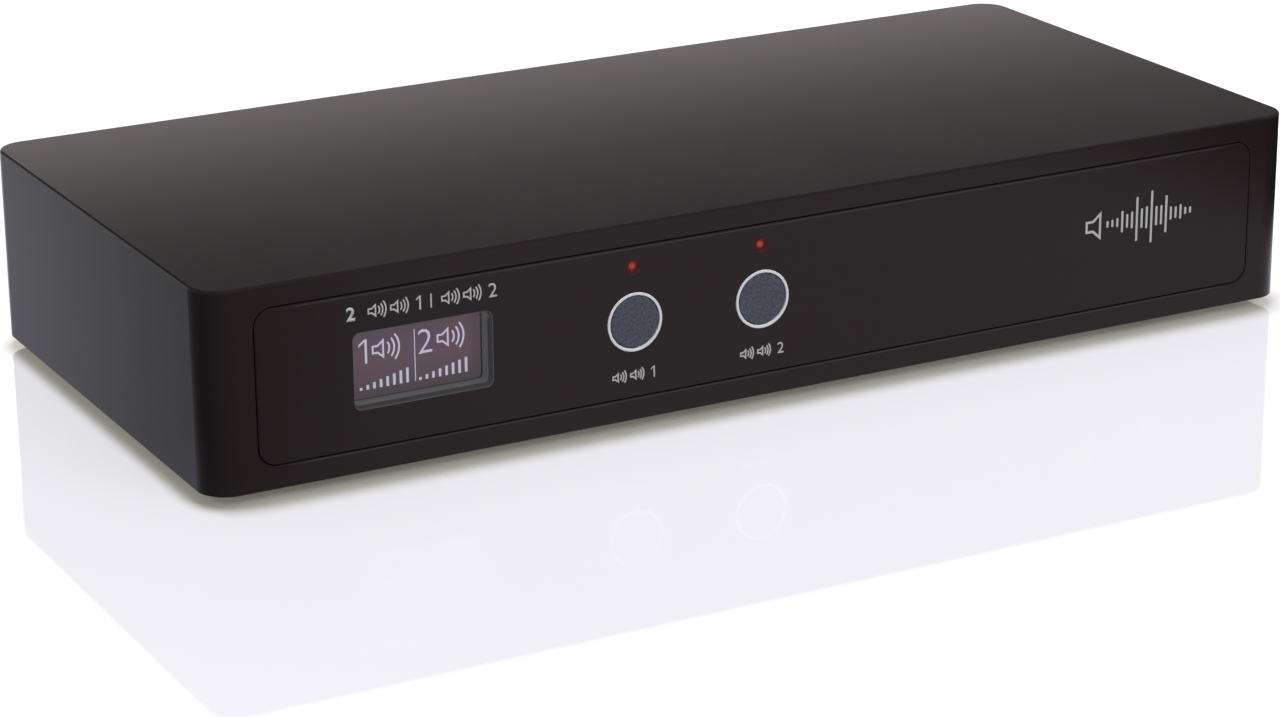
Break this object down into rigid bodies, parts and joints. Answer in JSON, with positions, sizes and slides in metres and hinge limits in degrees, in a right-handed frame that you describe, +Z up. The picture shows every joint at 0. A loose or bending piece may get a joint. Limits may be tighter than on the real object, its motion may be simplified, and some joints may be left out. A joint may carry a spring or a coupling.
{
  "type": "speaker selector switch",
  "caption": "Low black two-zone speaker selector: front display window, ringed round push buttons with red lamps above, and pluggable screw terminals at the rear.",
  "frame": {"origin": "on the surface that the feet stand on, under the middle of the box round the whole switch, plugs included", "axes": "+Z up, +X to the right as seen from the front, the controls face -Y and the terminals face +Y"},
  "size_m": [0.2, 0.1036, 0.0345],
  "materials": {
    "case": "satin black, very fine texture",
    "fascia": "satin black film, printed in light grey",
    "window": "clear, lightly smoked, polished",
    "display": "dark display glass with pale lit marks",
    "foam": "fine dark foam",
    "carrier": "plain moulded",
    "ring": "light grey, satin",
    "button_cap": "bluish grey with a fine grain",
    "plunger": "plain moulded",
    "switch_body": "plain moulded",
    "red_lamp": "clear red, lit",
    "circuit_board": "green solder mask",
    "relay_case": "moulded",
    "can_metal": "tin-plated sheet",
    "capacitor_sleeve": "dark sleeve on a metal can",
    "contact_metal": "tin-plated",
    "terminal_plastic": "fine moulded texture",
    "clamp_steel": "zinc-plated",
    "screw_steel": "blackened",
    "foot_rubber": "matt"
  },
  "bodies": {
    "case": {"base_plate": "case", "board_screws": "screw_steel", "button_rings": "ring", "capacitors": "capacitor_sleeve", "case_screws": "screw_steel", "display_carrier": "carrier", "display_gasket": "foam", "display_glass": "display", "display_lens": "window", "fascia_panel": "fascia", "front_board": "circuit_board", "header_pins": "contact_metal", "housing_shell": "case", "indicator_leds": "red_lamp", "input_header": "terminal_plastic", "link_header": "switch_body", "main_board": "circuit_board", "power_socket": "can_metal", "radio_module": "can_metal", "relays": "relay_case", "rubber_feet": "foot_rubber", "tact_switches": "switch_body", "zone_1_dome": "can_metal", "zone_1_header": "terminal_plastic", "zone_2_dome": "can_metal", "zone_2_header": "terminal_plastic"},
    "zone_1_press": {"zone_1_button": "button_cap", "zone_1_plunger": "plunger"},
    "zone_2_press": {"zone_2_button": "button_cap", "zone_2_plunger": "plunger"},
    "input_terminal": {"input_plug": "terminal_plastic", "input_contacts": "contact_metal"},
    "input_screw_1_turns": {"input_screw_1": "clamp_steel"},
    "input_cage_1_rises": {"input_cage_1": "clamp_steel"},
    "input_screw_2_turns": {"input_screw_2": "clamp_steel"},
    "input_cage_2_rises": {"input_cage_2": "clamp_steel"},
    "input_screw_3_turns": {"input_screw_3": "clamp_steel"},
    "input_cage_3_rises": {"input_cage_3": "clamp_steel"},
    "input_screw_4_turns": {"input_screw_4": "clamp_steel"},
    "input_cage_4_rises": {"input_cage_4": "clamp_steel"},
    "zone_1_terminal": {"zone_1_plug": "terminal_plastic", "zone_1_contacts": "contact_metal"},
    "zone_1_screw_1_turns": {"zone_1_screw_1": "clamp_steel"},
    "zone_1_cage_1_rises": {"zone_1_cage_1": "clamp_steel"},
    "zone_1_screw_2_turns": {"zone_1_screw_2": "clamp_steel"},
    "zone_1_cage_2_rises": {"zone_1_cage_2": "clamp_steel"},
    "zone_1_screw_3_turns": {"zone_1_screw_3": "clamp_steel"},
    "zone_1_cage_3_rises": {"zone_1_cage_3": "clamp_steel"},
    "zone_1_screw_4_turns": {"zone_1_screw_4": "clamp_steel"},
    "zone_1_cage_4_rises": {"zone_1_cage_4": "clamp_steel"},
    "zone_2_terminal": {"zone_2_plug": "terminal_plastic", "zone_2_contacts": "contact_metal"},
    "zone_2_screw_1_turns": {"zone_2_screw_1": "clamp_steel"},
    "zone_2_cage_1_rises": {"zone_2_cage_1": "clamp_steel"},
    "zone_2_screw_2_turns": {"zone_2_screw_2": "clamp_steel"},
    "zone_2_cage_2_rises": {"zone_2_cage_2": "clamp_steel"},
    "zone_2_screw_3_turns": {"zone_2_screw_3": "clamp_steel"},
    "zone_2_cage_3_rises": {"zone_2_cage_3": "clamp_steel"},
    "zone_2_screw_4_turns": {"zone_2_screw_4": "clamp_steel"},
    "zone_2_cage_4_rises": {"zone_2_cage_4": "clamp_steel"}
  },
  "joints": [
    {"name": "zone_1_push", "type": "slide", "parent": "case", "child": "zone_1_press", "axis": [0, 1, 0], "range_m": [0, 0.0003], "stiffness_N_per_m": 5000, "deforming": ["zone_1_dome"]},
    {"name": "zone_2_push", "type": "slide", "parent": "case", "child": "zone_2_press", "axis": [0, 1, 0], "range_m": [0, 0.0003], "stiffness_N_per_m": 5000, "deforming": ["zone_2_dome"]},
    {"name": "input_unplug", "type": "slide", "parent": "case", "child": "input_terminal", "axis": [0, 1, 0], "range_m": [0, 0.012]},
    {"name": "input_screw_1_turn", "type": "hinge", "parent": "input_terminal", "child": "input_screw_1_turns", "pos_m": [0.03638, 0.0466, 0.0212], "axis": [0, 0, -1], "range_deg": [0, 1730]},
    {"name": "input_cage_1_rise", "type": "slide", "parent": "input_terminal", "child": "input_cage_1_rises", "axis": [0, 0, 1], "range_m": [0, 0.0024]},
    {"name": "input_screw_2_turn", "type": "hinge", "parent": "input_terminal", "child": "input_screw_2_turns", "pos_m": [0.04146, 0.0466, 0.0212], "axis": [0, 0, -1], "range_deg": [0, 1730]},
    {"name": "input_cage_2_rise", "type": "slide", "parent": "input_terminal", "child": "input_cage_2_rises", "axis": [0, 0, 1], "range_m": [0, 0.0024]},
    {"name": "input_screw_3_turn", "type": "hinge", "parent": "input_terminal", "child": "input_screw_3_turns", "pos_m": [0.04654, 0.0466, 0.0212], "axis": [0, 0, -1], "range_deg": [0, 1730]},
    {"name": "input_cage_3_rise", "type": "slide", "parent": "input_terminal", "child": "input_cage_3_rises", "axis": [0, 0, 1], "range_m": [0, 0.0024]},
    {"name": "input_screw_4_turn", "type": "hinge", "parent": "input_terminal", "child": "input_screw_4_turns", "pos_m": [0.05162, 0.0466, 0.0212], "axis": [0, 0, -1], "range_deg": [0, 1730]},
    {"name": "input_cage_4_rise", "type": "slide", "parent": "input_terminal", "child": "input_cage_4_rises", "axis": [0, 0, 1], "range_m": [0, 0.0024]},
    {"name": "zone_1_unplug", "type": "slide", "parent": "case", "child": "zone_1_terminal", "axis": [0, 1, 0], "range_m": [0, 0.012]},
    {"name": "zone_1_screw_1_turn", "type": "hinge", "parent": "zone_1_terminal", "child": "zone_1_screw_1_turns", "pos_m": [-0.00362, 0.0466, 0.0212], "axis": [0, 0, -1], "range_deg": [0, 1730]},
    {"name": "zone_1_cage_1_rise", "type": "slide", "parent": "zone_1_terminal", "child": "zone_1_cage_1_rises", "axis": [0, 0, 1], "range_m": [0, 0.0024]},
    {"name": "zone_1_screw_2_turn", "type": "hinge", "parent": "zone_1_terminal", "child": "zone_1_screw_2_turns", "pos_m": [0.00146, 0.0466, 0.0212], "axis": [0, 0, -1], "range_deg": [0, 1730]},
    {"name": "zone_1_cage_2_rise", "type": "slide", "parent": "zone_1_terminal", "child": "zone_1_cage_2_rises", "axis": [0, 0, 1], "range_m": [0, 0.0024]},
    {"name": "zone_1_screw_3_turn", "type": "hinge", "parent": "zone_1_terminal", "child": "zone_1_screw_3_turns", "pos_m": [0.00654, 0.0466, 0.0212], "axis": [0, 0, -1], "range_deg": [0, 1730]},
    {"name": "zone_1_cage_3_rise", "type": "slide", "parent": "zone_1_terminal", "child": "zone_1_cage_3_rises", "axis": [0, 0, 1], "range_m": [0, 0.0024]},
    {"name": "zone_1_screw_4_turn", "type": "hinge", "parent": "zone_1_terminal", "child": "zone_1_screw_4_turns", "pos_m": [0.01162, 0.0466, 0.0212], "axis": [0, 0, -1], "range_deg": [0, 1730]},
    {"name": "zone_1_cage_4_rise", "type": "slide", "parent": "zone_1_terminal", "child": "zone_1_cage_4_rises", "axis": [0, 0, 1], "range_m": [0, 0.0024]},
    {"name": "zone_2_unplug", "type": "slide", "parent": "case", "child": "zone_2_terminal", "axis": [0, 1, 0], "range_m": [0, 0.012]},
    {"name": "zone_2_screw_1_turn", "type": "hinge", "parent": "zone_2_terminal", "child": "zone_2_screw_1_turns", "pos_m": [-0.03962, 0.0466, 0.0212], "axis": [0, 0, -1], "range_deg": [0, 1730]},
    {"name": "zone_2_cage_1_rise", "type": "slide", "parent": "zone_2_terminal", "child": "zone_2_cage_1_rises", "axis": [0, 0, 1], "range_m": [0, 0.0024]},
    {"name": "zone_2_screw_2_turn", "type": "hinge", "parent": "zone_2_terminal", "child": "zone_2_screw_2_turns", "pos_m": [-0.03454, 0.0466, 0.0212], "axis": [0, 0, -1], "range_deg": [0, 1730]},
    {"name": "zone_2_cage_2_rise", "type": "slide", "parent": "zone_2_terminal", "child": "zone_2_cage_2_rises", "axis": [0, 0, 1], "range_m": [0, 0.0024]},
    {"name": "zone_2_screw_3_turn", "type": "hinge", "parent": "zone_2_terminal", "child": "zone_2_screw_3_turns", "pos_m": [-0.02946, 0.0466, 0.0212], "axis": [0, 0, -1], "range_deg": [0, 1730]},
    {"name": "zone_2_cage_3_rise", "type": "slide", "parent": "zone_2_terminal", "child": "zone_2_cage_3_rises", "axis": [0, 0, 1], "range_m": [0, 0.0024]},
    {"name": "zone_2_screw_4_turn", "type": "hinge", "parent": "zone_2_terminal", "child": "zone_2_screw_4_turns", "pos_m": [-0.02438, 0.0466, 0.0212], "axis": [0, 0, -1], "range_deg": [0, 1730]},
    {"name": "zone_2_cage_4_rise", "type": "slide", "parent": "zone_2_terminal", "child": "zone_2_cage_4_rises", "axis": [0, 0, 1], "range_m": [0, 0.0024]}
  ],
  "couplings": [
    {"joint": "input_screw_1_turn", "follows": "input_cage_1_rise", "rad_per_m": 12566},
    {"joint": "input_screw_2_turn", "follows": "input_cage_2_rise", "rad_per_m": 12566},
    {"joint": "input_screw_3_turn", "follows": "input_cage_3_rise", "rad_per_m": 12566},
    {"joint": "input_screw_4_turn", "follows": "input_cage_4_rise", "rad_per_m": 12566},
    {"joint": "zone_1_screw_1_turn", "follows": "zone_1_cage_1_rise", "rad_per_m": 12566},
    {"joint": "zone_1_screw_2_turn", "follows": "zone_1_cage_2_rise", "rad_per_m": 12566},
    {"joint": "zone_1_screw_3_turn", "follows": "zone_1_cage_3_rise", "rad_per_m": 12566},
    {"joint": "zone_1_screw_4_turn", "follows": "zone_1_cage_4_rise", "rad_per_m": 12566},
    {"joint": "zone_2_screw_1_turn", "follows": "zone_2_cage_1_rise", "rad_per_m": 12566},
    {"joint": "zone_2_screw_2_turn", "follows": "zone_2_cage_2_rise", "rad_per_m": 12566},
    {"joint": "zone_2_screw_3_turn", "follows": "zone_2_cage_3_rise", "rad_per_m": 12566},
    {"joint": "zone_2_screw_4_turn", "follows": "zone_2_cage_4_rise", "rad_per_m": 12566}
  ]
}
